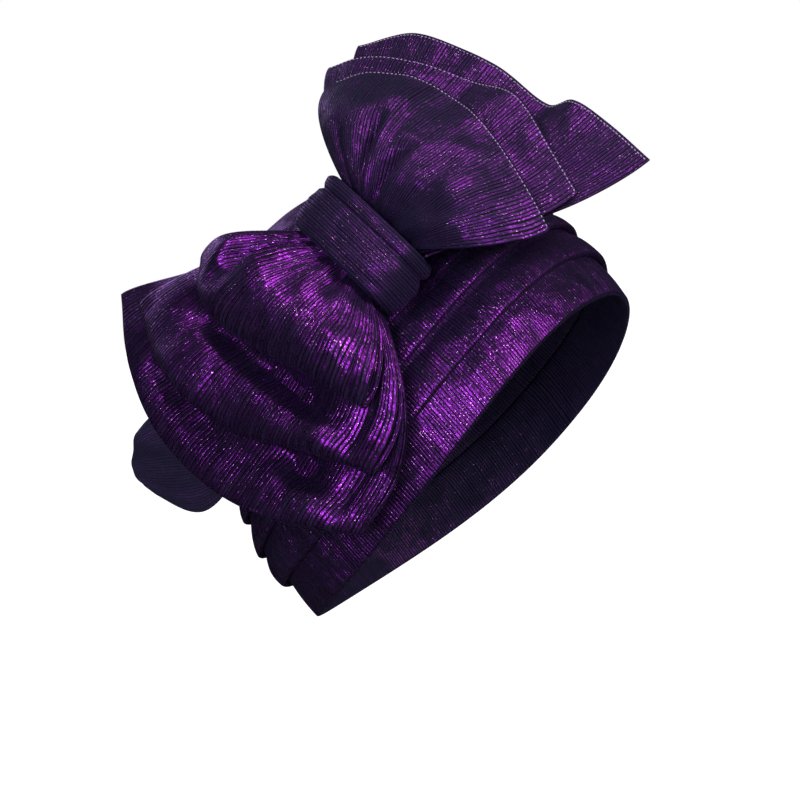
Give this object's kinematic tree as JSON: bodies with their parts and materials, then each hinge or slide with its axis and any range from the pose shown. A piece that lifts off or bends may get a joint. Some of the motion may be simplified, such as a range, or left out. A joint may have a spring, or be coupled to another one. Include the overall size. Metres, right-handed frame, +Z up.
{
  "type": "turban cap",
  "caption": "Pre-tied turban cap of ribbed metallic jersey, with overlapping tuck folds along the rim, a large layered side bow held by a knot band, and a short flared tail at the back.",
  "frame": {"origin": "middle of the rim, at the head seat", "axes": "+Z up with the wearer's head upright, -Y the way the wearer faces, -X the wearer's right, where the bow is"},
  "size_m": [0.207, 0.2619, 0.2248],
  "materials": {
    "cap_cloth": "ribbed jersey with a purple metallic thread",
    "bow_cloth": "ribbed jersey with a purple metallic thread",
    "knot_cloth": "ribbed jersey with a purple metallic thread",
    "tail_cloth": "ribbed jersey, less metallic thread in sight"
  },
  "bodies": {
    "root": {"front_band": "cap_cloth", "fold_ring_1": "cap_cloth", "fold_ring_2": "cap_cloth", "fold_ring_3": "cap_cloth", "crown": "cap_cloth", "back_tail": "tail_cloth", "bow_knot": "knot_cloth", "upper_loop_front": "bow_cloth", "upper_loop_middle": "bow_cloth", "upper_loop_back": "bow_cloth", "lower_loop_front": "bow_cloth", "lower_loop_middle": "bow_cloth", "lower_loop_back": "bow_cloth"}
  },
  "joints": []
}
